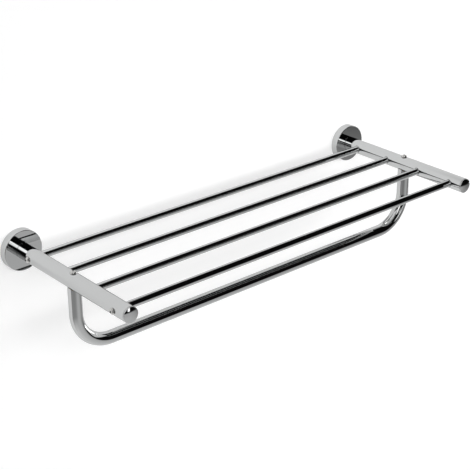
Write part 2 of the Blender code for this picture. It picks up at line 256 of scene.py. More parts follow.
def corner_data(mesh):
    """Each face corner's point, each face's normal, and the face and first corner that they belong to."""
    points = np.empty(len(mesh.vertices) * 3)
    mesh.vertices.foreach_get("co", points)
    corners = np.empty(len(mesh.loops), int)
    mesh.loops.foreach_get("vertex_index", corners)
    starts = np.empty(len(mesh.polygons), int)
    mesh.polygons.foreach_get("loop_start", starts)
    totals = np.empty(len(mesh.polygons), int)
    mesh.polygons.foreach_get("loop_total", totals)
    normals = np.empty(len(mesh.polygons) * 3)
    mesh.polygons.foreach_get("normal", normals)
    face_of = np.repeat(np.arange(len(totals)), totals)
    return points.reshape(-1, 3)[corners], normals.reshape(-1, 3), face_of, starts


def shade_as_turned(mesh, runs, place):
    """Shades a drilled piece with the slopes of the turned surface that each of its faces lies on."""
    points, flat, face_of, starts = corner_data(mesh)
    turn = np.array(place.to_3x3())
    points = (points - np.array(place.translation)) @ turn
    flat = (flat @ turn)[face_of]
    radius = np.hypot(points[:, 0], points[:, 1])
    out = np.zeros_like(points)
    out[:, :2] = points[:, :2] / np.maximum(radius, 1e-9)[:, None]
    spots = np.stack([radius, points[:, 2]], 1)
    nearest = np.full(len(starts), NEAR)
    result = np.zeros_like(points)
    for run in runs:
        for (start, start_slope), (end, end_slope) in zip(run, run[1:]):
            start, way = np.array(start), np.array(end) - np.array(start)
            share = np.clip((spots - start) @ way / (way @ way), 0, 1)
            gap = np.linalg.norm(spots - start - share[:, None] * way, axis=1)
            slope = np.outer(1 - share, start_slope) + np.outer(share, end_slope)
            slope /= np.linalg.norm(slope, axis=1)[:, None]
            normal = out * slope[:, :1]
            normal[:, 2] += slope[:, 1]
            gap[(normal * flat).sum(1) < ALIKE] = np.inf
            farthest = np.maximum.reduceat(gap, starts)
            closer = farthest < nearest
            nearest[closer] = farthest[closer]
            result[closer[face_of]] = normal[closer[face_of]]
    mesh.normals_split_custom_set((result @ turn.T).tolist())


def shade_as_bent_tube(mesh):
    """Shades the towel bar as a true round tube, inside and out."""
    points, flat, face_of, _ = corner_data(mesh)
    side = np.sign(points[:, 0])
    across, up = np.abs(points[:, 0]), points[:, 2]
    middle, foot = ARM_SPACING / 2 - TOWEL_BEND, TOWEL_BEND - TOWEL_DROP
    out_x = np.where(across > middle, across - middle, 0)
    out_z = np.where(up < foot, up - foot, 0)
    far = np.maximum(np.hypot(out_x, out_z), 1e-9)
    axis_x = np.where(across > middle, middle + TOWEL_BEND * out_x / far, across)
    axis_z = np.where(up < foot, foot + TOWEL_BEND * out_z / far, up)
    out = np.stack([side * (across - axis_x), points[:, 1] + TOWEL_DISTANCE, up - axis_z], 1)
    size = np.linalg.norm(out, axis=1)
    out /= np.maximum(size, 1e-9)[:, None]
    facing = (out * flat[face_of]).sum(1)
    outer = (np.abs(size - TOWEL_RADIUS) < NEAR) & (facing > ALIKE)
    inner = (np.abs(size - TOWEL_BORE) < NEAR) & (facing < -ALIKE)
    out *= (outer.astype(float) - inner)[:, None]
    mesh.normals_split_custom_set(out.tolist())


# Geometry Nodes


def new_tree(name, sizes):
    """A tree with a named input for each size, and the sockets of those inputs."""
    tree = bpy.data.node_groups.new(name, "GeometryNodeTree")
    tree.interface.new_socket("Geometry", in_out="OUTPUT", socket_type="NodeSocketGeometry")
    tree.interface.new_socket("Geometry", in_out="INPUT", socket_type="NodeSocketGeometry")
    kinds = {int: "NodeSocketInt", float: "NodeSocketFloat", bpy.types.Material: "NodeSocketMaterial"}
    for label, value in sizes.items():
        socket = tree.interface.new_socket(label, in_out="INPUT", socket_type=kinds[type(value)])
        socket.default_value = value
    return tree, add(tree, "NodeGroupInput").outputs


def end_tree(tree, geometry, material):
    """Makes a tree's instances real, gives them their material and ends the tree."""
    real = add(tree, "GeometryNodeRealizeInstances", [geometry])
    dressed = add(tree, "GeometryNodeSetMaterial", {"Geometry": real, "Material": material})
    add(tree, "NodeGroupOutput", [dressed])


def end_cut_tree(tree, mesh, tools, material):
    """Cuts tools out of a mesh, keeps the cut's edges sharp and ends the tree."""
    cut = add(
        tree,
        "GeometryNodeMeshBoolean",
        {"Mesh 1": mesh, "Mesh 2": tools, "Self Intersection": True},
        operation="DIFFERENCE",
        solver="EXACT",
    )
    smooth = add(tree, "GeometryNodeSetShadeSmooth", {"Geometry": cut, "Shade Smooth": True})
    bend = add(tree, "GeometryNodeInputMeshEdgeAngle")
    sharp = add(tree, "FunctionNodeCompare", [bend, SHARP_BEND], operation="GREATER_THAN")
    edges = {"Geometry": smooth, "Selection": sharp, "Shade Smooth": False}
    end_tree(tree, add(tree, "GeometryNodeSetShadeSmooth", edges, domain="EDGE"), material)


def grown(name, mesh, tree, **sizes):
    """The plain mesh that a tree makes of a mesh. Sizes are given by the names of the tree's inputs."""
    guide = bpy.data.objects.new(name, mesh)
    bpy.context.scene.collection.objects.link(guide)
    modifier = guide.modifiers.new(tree.name, "NODES")
    modifier.node_group = tree
    sockets = {item.name: item.identifier for item in tree.interface.items_tree if item.in_out == "INPUT"}
    for label, value in sizes.items():
        modifier[sockets[label.replace("_", " ")]] = value
    depsgraph = bpy.context.evaluated_depsgraph_get()
    result = bpy.data.meshes.new_from_object(guide.evaluated_get(depsgraph), depsgraph=depsgraph)
    bpy.data.objects.remove(guide)
    result.name = name
    return result


def drills(tree, points, radius, start, turn, facets=SCREW_FACETS, length=CUT):
    """Drills at points. Each starts at a height over its point and is then turned about it."""
    drill = {"Vertices": facets, "Radius": radius, "Depth": length}
    drill = add(tree, "GeometryNodeMeshCylinder", drill)
    height = add(tree, "ShaderNodeMath", [start, length / 2], operation="ADD")
    lift = add(tree, "ShaderNodeCombineXYZ", {"Z": height})
    raised = add(tree, "GeometryNodeTransform", {"Geometry": drill, "Translation": lift})
    placed = {"Points": points, "Instance": raised, "Rotation": turn}
    return add(tree, "GeometryNodeRealizeInstances", [add(tree, "GeometryNodeInstanceOnPoints", placed)])


def rod_points(tree, count, start, step):
    """A row with a point for each rod, and a pair with the first and the last of them."""
    row = add(tree, "GeometryNodeMeshLine", {"Count": count, "Start Location": start, "Offset": step})
    gaps = add(tree, "ShaderNodeMath", [count, 1.0], operation="SUBTRACT")
    span = add(tree, "ShaderNodeVectorMath", {0: step, "Scale": gaps}, operation="SCALE")
    return row, add(tree, "GeometryNodeMeshLine", {"Count": 2, "Start Location": start, "Offset": span})


def arm_points(tree, spacing, distance, height=0.0):
    """A point at each arm, at a distance from the wall and a height."""
    half = add(tree, "ShaderNodeMath", [spacing, -0.5], operation="MULTIPLY")
    back = add(tree, "ShaderNodeMath", [distance, -1.0], operation="MULTIPLY")
    start = add(tree, "ShaderNodeCombineXYZ", {"X": half, "Y": back, "Z": height})
    step = add(tree, "ShaderNodeCombineXYZ", {"X": spacing})
    return add(tree, "GeometryNodeMeshLine", {"Count": 2, "Start Location": start, "Offset": step})


def arm_tree(material):
    """Drills an arm: a row of rod holes inside, a screw seat over the first and last rod outside, a screw
    seat on top over the towel bar, and a neck hole below it.
    """
    sizes = {
        "Side": 1.0,
        "Rod count": ROD_COUNT,
        "First rod": ROD_FIRST,
        "Rod pitch": ROD_PITCH,
        "Rod hole": ROD_RADIUS + CLEARANCE,
        "Towel bar": TOWEL_DISTANCE,
        "Neck hole": NECK_RADIUS + CLEARANCE,
        "Seat radius": PAN_SCREW["head"] + CLEARANCE,
        "Seat height": SEAT_CUT,
        "Screw hole": PAN_SCREW["shank"] + CLEARANCE,
        "Material": material,
    }
    tree, size = new_tree("drilled_arm", sizes)
    first = add(tree, "ShaderNodeCombineXYZ", {"Z": size["First rod"]})
    pitch = add(tree, "ShaderNodeCombineXYZ", {"Z": size["Rod pitch"]})
    row, ends = rod_points(tree, size["Rod count"], first, pitch)
    over_bar = add(tree, "ShaderNodeCombineXYZ", {"Z": size["Towel bar"]})
    bar = add(tree, "GeometryNodeMeshLine", {"Count": 1, "Start Location": over_bar})
    outward = add(tree, "ShaderNodeMath", [size["Side"], math.pi / 2], operation="MULTIPLY")
    outward = add(tree, "ShaderNodeCombineXYZ", {"Y": outward})
    inward = add(tree, "ShaderNodeVectorMath", {0: outward, "Scale": -1.0}, operation="SCALE")
    upward, downward = (-math.pi / 2, 0.0, 0.0), (math.pi / 2, 0.0, 0.0)
    tools = [
        drills(tree, row, size["Rod hole"], 0.0, inward, ROD_FACETS),
        drills(tree, ends, size["Seat radius"], size["Seat height"], outward),
        drills(tree, ends, size["Screw hole"], 0.0, outward),
        drills(tree, bar, size["Seat radius"], size["Seat height"], upward),
        drills(tree, bar, size["Screw hole"], 0.0, upward),
        drills(tree, bar, size["Neck hole"], 0.0, downward, ROD_FACETS),
    ]
    end_cut_tree(tree, size["Geometry"], tools, size["Material"])
    return tree


def flange_tree(material):
    """Drills the set screw's hole through the lower side of a flange."""
    sizes = {
        "Hole height": PLATE_DEPTH / 2,
        "Hole radius": SET_SCREW["shank"] + CLEARANCE,
        "Hole start": FLANGE_BORE - OVERRUN,
        "Material": material,
    }
    tree, size = new_tree("drilled_flange", sizes)
    height = add(tree, "ShaderNodeCombineXYZ", {"Z": size["Hole height"]})
    point = add(tree, "GeometryNodeMeshLine", {"Count": 1, "Start Location": height})
    hole = drills(tree, point, size["Hole radius"], size["Hole start"], (math.pi / 2, 0.0, 0.0))
    end_cut_tree(tree, size["Geometry"], [hole], size["Material"])
    return tree


def plate_tree(material):
    """Cuts a row of round-ended slots through a wall plate."""
    sizes = {
        "Slot count": 2,
        "Slot spacing": SLOT_SPACING,
        "Slot radius": SLOT_WIDTH / 2,
        "Slot travel": SLOT_TRAVEL,
        "Material": material,
    }
    tree, size = new_tree("slotted_plate", sizes)
    gaps = add(tree, "ShaderNodeMath", [size["Slot count"], 1.0], operation="SUBTRACT")
    start = add(tree, "ShaderNodeMath", [size["Slot travel"], -0.5], operation="MULTIPLY")
    start = add(tree, "ShaderNodeCombineXYZ", {"Y": start})
    travel = add(tree, "ShaderNodeCombineXYZ", {"Y": size["Slot travel"]})
    ends = add(tree, "GeometryNodeMeshLine", {"Count": 2, "Start Location": start, "Offset": travel})
    round_ends = drills(tree, ends, size["Slot radius"], -CUT / 2, (0.0, 0.0, 0.0))
    slot = add(tree, "GeometryNodeConvexHull", [round_ends])
    width = add(tree, "ShaderNodeMath", [gaps, size["Slot spacing"]], operation="MULTIPLY")
    first = add(tree, "ShaderNodeMath", [width, -0.5], operation="MULTIPLY")
    first = add(tree, "ShaderNodeCombineXYZ", {"X": first})
    spacing = add(tree, "ShaderNodeCombineXYZ", {"X": size["Slot spacing"]})
    row = {"Count": size["Slot count"], "Start Location": first, "Offset": spacing}
    row = add(tree, "GeometryNodeMeshLine", row)
    slots = add(tree, "GeometryNodeInstanceOnPoints", {"Points": row, "Instance": slot})
    slots = add(tree, "GeometryNodeRealizeInstances", [slots])
    end_cut_tree(tree, size["Geometry"], [slots], size["Material"])
    return tree


def rods_tree(material):
    """Lays equal rods side by side and drills both ends of the first and the last."""
    sizes = {
        "Rod count": ROD_COUNT,
        "First rod": ROD_FIRST,
        "Rod pitch": ROD_PITCH,
        "Half length": ROD_HALF,
        "Bore radius": TAPPED_RADIUS,
        "Bore end": ARM_SPACING / 2 - TAPPED_END,
        "Material": material,
    }
    tree, size = new_tree("shelf_rods", sizes)
    back = add(tree, "ShaderNodeMath", [size["First rod"], -1.0], operation="MULTIPLY")
    start = add(tree, "ShaderNodeCombineXYZ", {"Y": back})
    step = add(tree, "ShaderNodeMath", [size["Rod pitch"], -1.0], operation="MULTIPLY")
    step = add(tree, "ShaderNodeCombineXYZ", {"Y": step})
    row, ends = rod_points(tree, size["Rod count"], start, step)
    rods = add(tree, "GeometryNodeInstanceOnPoints", {"Points": row, "Instance": size["Geometry"]})
    rods = add(tree, "GeometryNodeRealizeInstances", [rods])
    bores = [
        drills(tree, ends, size["Bore radius"], size["Bore end"], (0.0, side * math.pi / 2, 0.0))
        for side in (-1, 1)
    ]
    end_cut_tree(tree, rods, bores, size["Material"])
    return tree


def towel_bar_tree(material):
    """Bends a tube along a line, with rounds at its corners, and copes its ends to fit under the arms."""
    sizes = {
        "Bend radius": TOWEL_BEND,
        "Bend facets": BEND_FACETS,
        "Tube radius": TOWEL_RADIUS,
        "Tube bore": TOWEL_BORE,
        "Cope radius": ARM_RADIUS + JOINT_GAP,
        "Arm spacing": ARM_SPACING,
        "Distance": TOWEL_DISTANCE,
        "Material": material,
    }
    tree, size = new_tree("bent_towel_bar", sizes)
    corners = add(tree, "GeometryNodeMeshToCurve", [size["Geometry"]])
    rounds = {"Curve": corners, "Count": size["Bend facets"], "Radius": size["Bend radius"]}
    route = add(tree, "GeometryNodeFilletCurve", rounds, mode="POLY")
    tubes = []
    for radius in (size["Tube radius"], size["Tube bore"]):
        ring = add(tree, "GeometryNodeCurvePrimitiveCircle", {"Resolution": TUBE_FACETS, "Radius": radius})
        swept = {"Curve": route, "Profile Curve": ring, "Fill Caps": True}
        tubes.append(add(tree, "GeometryNodeCurveToMesh", swept))
    tops = arm_points(tree, size["Arm spacing"], size["Distance"])
    level = (math.pi / 2, 0.0, 0.0)
    copes = drills(tree, tops, size["Cope radius"], -COPE_CUT / 2, level, ARM_FACETS, COPE_CUT)
    coped = add(
        tree,
        "GeometryNodeMeshBoolean",
        {"Mesh 1": tubes[0], "Mesh 2": copes},
        operation="DIFFERENCE",
        solver="EXACT",
    )
    end_cut_tree(tree, coped, [tubes[1]], size["Material"])
    return tree


def screw_tree(material):
    """Cuts a thread into the shank of a turned screw, and a hexagonal socket into its top."""
    sizes = {
        "Pitch": PAN_SOCKET["pitch"],
        "Thread depth": THREAD_DEPTH,
        "Thread start": THREAD_START,
        "Thread end": CHAMFER - PAN_SCREW["length"],
        "Shank radius": PAN_SCREW["shank"],
        "Top": PAN_SCREW["height"],
        "Across flats": PAN_SOCKET["across"],
        "Socket depth": PAN_SOCKET["deep"],
        "Material": material,
    }
    tree, size = new_tree("threaded_socket_screw", sizes)
    spot = add(tree, "ShaderNodeSeparateXYZ", [add(tree, "GeometryNodeInputPosition")]).outputs
    angle = add(tree, "ShaderNodeMath", [spot["Y"], spot["X"]], operation="ARCTAN2")
    turn = add(tree, "ShaderNodeMath", [angle, 2 * math.pi], operation="DIVIDE")
    climb = add(tree, "ShaderNodeMath", [spot["Z"], size["Pitch"]], operation="DIVIDE")
    phase = add(tree, "ShaderNodeMath", [climb, turn], operation="SUBTRACT")
    tooth = add(tree, "ShaderNodeMath", [phase, 0.5], operation="PINGPONG")
    share = add(tree, "ShaderNodeMath", [size["Thread depth"], size["Shank radius"]], operation="DIVIDE")
    inward = add(tree, "ShaderNodeMath", [share, -2.0], operation="MULTIPLY")
    pull = add(tree, "ShaderNodeMath", [tooth, inward], operation="MULTIPLY")
    below = add(tree, "ShaderNodeMath", [spot["Z"], size["Thread start"]], operation="LESS_THAN")
    above = add(tree, "ShaderNodeMath", [spot["Z"], size["Thread end"]], operation="GREATER_THAN")
    threaded = add(tree, "ShaderNodeMath", [below, above], operation="MULTIPLY")
    across = add(tree, "ShaderNodeCombineXYZ", {"X": spot["X"], "Y": spot["Y"]})
    offset = add(tree, "ShaderNodeVectorMath", {0: across, "Scale": pull}, operation="SCALE")
    shaped = {"Geometry": size["Geometry"], "Selection": threaded, "Offset": offset}
    screw = add(tree, "GeometryNodeSetPosition", shaped)
    corner = add(tree, "ShaderNodeMath", [size["Across flats"], math.sqrt(3)], operation="DIVIDE")
    bottom = add(tree, "ShaderNodeMath", [size["Top"], size["Socket depth"]], operation="SUBTRACT")
    centre = add(tree, "GeometryNodeMeshLine", {"Count": 1})
    socket = drills(tree, centre, corner, bottom, (0.0, 0.0, 0.0), facets=6)
    # The socket's faces are marked, so that the steel finish can paint them dark as painted shade.
    marked = {"Geometry": socket, "Name": "socket", "Value": 1.0}
    socket = add(tree, "GeometryNodeStoreNamedAttribute", marked, data_type="FLOAT", domain="FACE")
    end_cut_tree(tree, screw, [socket], size["Material"])
    return tree


def rod_screws_tree(material):
    """Sets a screw outside each arm over the first and last rod, and one on top over the towel bar."""
    sizes = {
        "Arm spacing": ARM_SPACING,
        "Seat height": HEAD_SEAT,
        "First rod": ROD_FIRST,
        "Last rod": ROD_FIRST + ROD_PITCH * (ROD_COUNT - 1),
        "Towel bar": TOWEL_DISTANCE,
        "Material": material,
    }
    tree, size = new_tree("rod_and_towel_bar_screws", sizes)
    seats = add(tree, "ShaderNodeMath", [size["Seat height"], 2.0], operation="MULTIPLY")
    width = add(tree, "ShaderNodeMath", [size["Arm spacing"], seats], operation="ADD")
    span = add(tree, "ShaderNodeMath", [size["Last rod"], size["First rod"]], operation="SUBTRACT")
    grid = {"Size X": width, "Size Y": span, "Vertices X": 2, "Vertices Y": 2}
    corners = add(tree, "GeometryNodeMeshGrid", grid)
    middle = add(tree, "ShaderNodeMath", [size["Last rod"], size["First rod"]], operation="ADD")
    middle = add(tree, "ShaderNodeMath", [middle, -0.5], operation="MULTIPLY")
    middle = add(tree, "ShaderNodeCombineXYZ", {"Y": middle})
    corners = add(tree, "GeometryNodeTransform", {"Geometry": corners, "Translation": middle})
    spot = add(tree, "ShaderNodeSeparateXYZ", [add(tree, "GeometryNodeInputPosition")]).outputs
    outward = add(tree, "ShaderNodeCombineXYZ", {"X": spot["X"]})
    facing = add(tree, "FunctionNodeAlignRotationToVector", {"Vector": outward}, axis="Z")
    placed = {"Points": corners, "Instance": size["Geometry"], "Rotation": facing}
    side_screws = add(tree, "GeometryNodeInstanceOnPoints", placed)
    tops = arm_points(tree, size["Arm spacing"], size["Towel bar"], size["Seat height"])
    top_screws = add(tree, "GeometryNodeInstanceOnPoints", {"Points": tops, "Instance": size["Geometry"]})
    end_tree(tree, add(tree, "GeometryNodeJoinGeometry", [[side_screws, top_screws]]), size["Material"])
    return tree


def pair_tree(material):
    """Sets the same part at both arms, at a distance from the wall and a height, turned about X."""
    sizes = {
        "Arm spacing": ARM_SPACING,
        "Distance": PLATE_DEPTH / 2,
        "Height": 0.0,
        "Turn": 0.0,
        "Material": material,
    }
    tree, size = new_tree("pair_at_the_arms", sizes)
    pair = arm_points(tree, size["Arm spacing"], size["Distance"], size["Height"])
    turn = add(tree, "ShaderNodeCombineXYZ", {"X": size["Turn"]})
    placed = {"Points": pair, "Instance": size["Geometry"], "Rotation": turn}
    end_tree(tree, add(tree, "GeometryNodeInstanceOnPoints", placed), size["Material"])
    return tree


# Finishes

NOISE = {"From Min": 0.3, "From Max": 0.7}  # where most of a noise texture's values lie
WAVELENGTH = math.pi / 10  # of a wave texture at a scale of one
COLOUR_A, COLOUR_B = 6, 7  # a Mix node's colour inputs, which share their names with others


def new_finish(name):
    """A material without nodes, and its tree."""
    material = bpy.data.materials.new(name)
    material.use_nodes = True
    material.node_tree.nodes.clear()
    return material, material.node_tree


def end_metal(tree, rough, shader):
    """Ends the tree of a metal. Rough is the range that its roughness is mapped to."""
    shader = {"Metallic": 1.0, "Roughness": add(tree, "ShaderNodeMapRange", rough), **shader}
    add(tree, "ShaderNodeOutputMaterial", [add(tree, "ShaderNodeBsdfPrincipled", shader)])


def polished_chrome():
    """Bright chrome on polished brass: a near mirror, neutral, as dark as chromium really is.

    The plate shows the faint waviness of the buffing wheel and a haze that comes and goes, so that its
    reflections are crisp but never quite still. Chromium's dull rim tint keeps the edges from flaring.
    """
    material, tree = new_finish("polished_chrome_plate")
    spot = add(tree, "ShaderNodeTexCoord").outputs["Object"]
    haze = add(tree, "ShaderNodeTexNoise", {"Vector": spot, "Scale": 1 / (14 * MM), "Detail": 3.0})
    rough = {"Value": haze, **NOISE, "To Min": 0.012, "To Max": 0.035}
    wave = add(tree, "ShaderNodeTexNoise", {"Vector": spot, "Scale": 1 / (9 * MM), "Detail": 1.0})
    bump = add(tree, "ShaderNodeBump", {"Height": wave, "Strength": 0.5, "Distance": 0.003 * MM})
    tones = {"Base Color": linear("#C3C4C4"), "Specular Tint": linear("#E1E1E1")}
    end_metal(tree, rough, {**tones, "Normal": bump})
    return material


def bright_steel():
    """Bright stainless steel, tumbled after turning: it mirrors like the chrome, but softer and warmer.

    The sockets are broached, and their faces are painted nearly black as shade in the recess.
    """
    material, tree = new_finish("tumbled_stainless_steel")
    spot = add(tree, "ShaderNodeTexCoord").outputs["Object"]
    grain = add(tree, "ShaderNodeTexNoise", {"Vector": spot, "Scale": 1 / (0.6 * MM), "Detail": 2.0})
    rough = {"Value": grain, **NOISE, "To Min": 0.04, "To Max": 0.08}
    bump = add(tree, "ShaderNodeBump", {"Height": grain, "Strength": 0.3, "Distance": 0.002 * MM})
    # Painted shade: the socket's faces are coloured nearly black, as the shade inside the recess.
    socket_shade = add(tree, "ShaderNodeAttribute", attribute_name="socket").outputs["Fac"]
    tones = {"Factor": socket_shade, COLOUR_A: linear("#C3C2C0"), COLOUR_B: linear("#1E1D1C")}
    tone = add(tree, "ShaderNodeMix", tones, data_type="RGBA")
    end_metal(tree, rough, {"Base Color": tone, "Normal": bump})
    return material


def zinc_plate():
    """Clear zinc plate on pressed steel: a grey, slightly blue satin with cloudy crystals."""
    material, tree = new_finish("clear_zinc_plate")
    spot = add(tree, "ShaderNodeTexCoord").outputs["Object"]
    cloud = add(tree, "ShaderNodeTexNoise", {"Vector": spot, "Scale": 1 / (4 * MM), "Detail": 4.0})
    rough = {"Value": cloud, **NOISE, "To Min": 0.28, "To Max": 0.42}
    tones = {"Factor": cloud, COLOUR_A: linear("#A9ADB1"), COLOUR_B: linear("#BCBFC2")}
    end_metal(tree, rough, {"Base Color": add(tree, "ShaderNodeMix", tones, data_type="RGBA")})
    return material


def turned_brass(along):
    """Free-cutting brass as it comes off the lathe: warm yellow with feed marks round its axis.

    Real feed marks are 0.1 mm apart. They are drawn 0.5 mm apart, so that they show.
    """
    material, tree = new_finish("turned_brass_" + along.lower())
    spot = add(tree, "ShaderNodeTexCoord").outputs["Object"]
    mark = {"Vector": spot, "Scale": WAVELENGTH / (0.5 * MM), "Distortion": 0.3}
    mark = add(tree, "ShaderNodeTexWave", mark, bands_direction=along)
    rough = {"Value": mark, "To Min": 0.2, "To Max": 0.32}
    bump = add(tree, "ShaderNodeBump", {"Height": mark, "Strength": 0.4, "Distance": 0.01 * MM})
    end_metal(tree, rough, {"Base Color": linear("#D8B76B"), "Normal": bump})
    return material


chrome = polished_chrome()
steel = bright_steel()
zinc = zinc_plate()
plug_brass = turned_brass("Y")
insert_brass = turned_brass("Z")

# Pieces


def make_piece(name, mesh, nodes, material=None):
    """Puts a finished mesh in the scene in place of CAD nodes."""
    mesh.name = name
    if material is not None:
        mesh.materials.append(material)
    piece = bpy.data.objects.new(name, mesh)
    bpy.context.scene.collection.objects.link(piece)
    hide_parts(*nodes)
    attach(piece, "root")


def arm_runs():
    """A plain tube with its edges taken off."""
    corner = ARM_RADIUS - DEBURR
    return [
        line((ARM_BORE, ARM_END), (corner, ARM_END)),
        arc((corner, ARM_END - DEBURR), DEBURR, 90, 0, DEBURR_STEPS),
        line((ARM_RADIUS, ARM_END - DEBURR), (ARM_RADIUS, ARM_START + DEBURR)),
        arc((corner, ARM_START + DEBURR), DEBURR, 0, -90, DEBURR_STEPS),
        line((corner, ARM_START), (ARM_BORE, ARM_START)),
        line((ARM_BORE, ARM_START), (ARM_BORE, ARM_END)),
    ]


def cap_runs():
    """A shallow dome that runs into a small round at the rim, with a hollow spigot behind it."""
    rim = ARM_RADIUS - CAP_ROUNDING
    sphere = (rim**2 + CAP_CROWN**2) / (2 * CAP_CROWN)
    tilt = math.degrees(math.asin(rim / sphere))
    low = ARM_REACH - CAP_ROUNDING
    corner, spigot, end = ARM_RADIUS - DEBURR, ARM_BORE - CLEARANCE, CAP_BACK - CAP_SPIGOT
    return [
        arc((0, ARM_REACH + CAP_CROWN - sphere), sphere, 90, 90 - tilt, CROWN_STEPS),
        arc((rim, low), CAP_ROUNDING, 90, 0, CAP_STEPS),
        line((ARM_RADIUS, low), (ARM_RADIUS, CAP_BACK + DEBURR)),
        arc((corner, CAP_BACK + DEBURR), DEBURR, 0, -90, DEBURR_STEPS),
    ] + path(
        (corner, CAP_BACK),
        (spigot, CAP_BACK),
        (spigot, end),
        (CAP_HOLLOW, end),
        (CAP_HOLLOW, CAP_BACK),
        (0, CAP_BACK),
    )


def flange_runs():
    """A cup with a hole in its face and a small round at its front edge."""
    hole = FLANGE_SCREW["shank"] + CLEARANCE
    edge, foot = FLANGE_RADIUS - FLANGE_ROUNDING, FLANGE_RADIUS - DEBURR
    return [
        line((hole, FLANGE_DEPTH), (edge, FLANGE_DEPTH)),
        arc((edge, FLANGE_DEPTH - FLANGE_ROUNDING), FLANGE_ROUNDING, 90, 0, FLANGE_STEPS),
        line((FLANGE_RADIUS, FLANGE_DEPTH - FLANGE_ROUNDING), (FLANGE_RADIUS, DEBURR)),
        arc((foot, DEBURR), DEBURR, 0, -90, DEBURR_STEPS),
    ] + path(
        (foot, 0),
        (FLANGE_BORE, 0),
        (FLANGE_BORE, FLANGE_INSIDE),
        (hole, FLANGE_INSIDE),
        (hole, FLANGE_DEPTH),
    )


def plate_runs():
    """A dish with a groove round its rim, which the set screw's point goes into."""
    bore, rim, groove = PLATE_RIM_BORE, PLATE_RADIUS, PLATE_RADIUS - GROOVE_DEPTH
    return path(
        (0, PLATE_BASE),
        (bore, PLATE_BASE),
        (bore, PLATE_DEPTH),
        (rim, PLATE_DEPTH),
        (rim, GROOVE_HIGH),
        (groove, GROOVE_HIGH),
        (groove, GROOVE_LOW),
        (rim, GROOVE_LOW),
        (rim, 0),
        (0, 0),
    )


def plug_runs():
    """A ring with a thread down its bore, drawn as grooves."""
    bore, outer = FLANGE_SCREW["shank"] + CLEARANCE, ARM_BORE - CLEARANCE
    start, end = ARM_START, ARM_START + PLUG_LENGTH
    corners = [(bore, end), (outer - CHAMFER, end), (outer, end - CHAMFER), (outer, start), (bore, start)]
    threads = round(PLUG_LENGTH / FLANGE_SOCKET["pitch"])
    for turn in range(threads):
        low = start + PLUG_LENGTH * turn / threads
        middle, top = low + PLUG_LENGTH / threads / 2, low + PLUG_LENGTH / threads
        corners += [(bore + PLUG_THREAD, middle), (bore, top)]
    return path(*corners)


def insert_runs():
    """Heights are from the arm's axis, upwards."""
    neck, body = NECK_RADIUS, TOWEL_BORE - CLEARANCE
    top = math.sqrt((ARM_BORE - CLEARANCE) ** 2 - neck**2)
    shoulder = -ARM_RADIUS - CLEARANCE
    end = shoulder - INSERT_LENGTH
    return path(
        (0, -TAPPED_END),
        (TAPPED_RADIUS, -TAPPED_END),
        (TAPPED_RADIUS, top),
        (neck - CHAMFER, top),
        (neck, top - CHAMFER),
        (neck, shoulder),
        (body, shoulder),
        (body, end + CHAMFER),
        (body - CHAMFER, end),
        (0, end),
    )


def rod_runs():
    """A solid rod with chamfered ends."""
    return path(
        (0, ROD_HALF),
        (ROD_RADIUS - ROD_CHAMFER, ROD_HALF),
        (ROD_RADIUS, ROD_HALF - ROD_CHAMFER),
        (ROD_RADIUS, ROD_CHAMFER - ROD_HALF),
        (ROD_RADIUS - ROD_CHAMFER, -ROD_HALF),
        (0, -ROD_HALF),
    )


def screw_runs(pitch, shank, length, head=0.0, height=0.0, point=CHAMFER):
    """A screw along -Z, with rings close enough for its thread. Its domed head, if any, stands on Z = 0."""
    end_radius = shank / 2 if point > CHAMFER else shank - point
    if head:
        rim = height * RIM_SHARE
        dome = []
        for (r, z), (out, up) in arc((0, 0), 1.0, 90, 0, HEAD_STEPS):
            slope = Vector((out / head, up / (height - rim))).normalized()
            dome.append(((head * r, rim + (height - rim) * z), tuple(slope)))
        runs = [dome] + path((head, rim), (head, 0), (shank, 0))
    else:
        runs = [line((0, 0), (shank, 0))]
    runs.append(line((shank, 0), (shank, point - length), round(length / pitch * RINGS_A_THREAD)))
    return runs + path((shank, point - length), (end_radius, -length), (0, -length))


def cut_screw(name, tree, body, socket):
    """A turned screw with its thread and socket."""
    blank = turned("blank", screw_runs(socket["pitch"], **body), SCREW_FACETS)
    return grown(
        name,
        blank,
        tree,
        Pitch=socket["pitch"],
        Thread_end=CHAMFER - body["length"],
        Shank_radius=body["shank"],
        Top=body.get("height", 0.0),
        Across_flats=socket["across"],
        Socket_depth=socket["deep"],
    )


# The turn of an arm: its height goes to -Y, its own Y goes up
ALONG_ARM = Matrix.Rotation(math.pi / 2, 4, "X")

arm_drilling, flange_drilling, slotting = arm_tree(chrome), flange_tree(chrome), plate_tree(zinc)
for label, side in SIDES:
    place = Matrix.Translation((side * ARM_SPACING / 2, 0, 0)) @ ALONG_ARM
    for what, slot, node, runs, facets, tree, sizes in (
        ("arm_tube", "chrome", "arm", arm_runs(), ARM_FACETS, arm_drilling, {"Side": float(side)}),
        ("wall_flange", "chrome", "flange", flange_runs(), FLANGE_FACETS, flange_drilling, {}),
        ("back_plate", "steel", "wall_plate", plate_runs(), FLANGE_FACETS, slotting, {}),
    ):
        mesh = grown(f"{label}_{what}", turned("blank", runs, facets), tree, **sizes)
        mesh.transform(place)
        shade_as_turned(mesh, runs, place)
        make_piece(f"{label}_{what}", mesh, [f"{label}_{node}"])
    cap = turned("cap", cap_runs(), ARM_FACETS, place)
    make_piece(f"{label}_end_cap", cap, [f"{label}_arm_cap"], chrome)
    plug = turned("plug", plug_runs(), ROD_FACETS, place)
    make_piece(f"{label}_threaded_plug", plug, [f"{label}_arm_plug"], plug_brass)
    over_leg = Matrix.Translation((side * ARM_SPACING / 2, -TOWEL_DISTANCE, 0))
    insert = turned("insert", insert_runs(), ROD_FACETS, over_leg)
    make_piece(f"{label}_tapped_insert", insert, [f"{label}_leg_insert"], insert_brass)

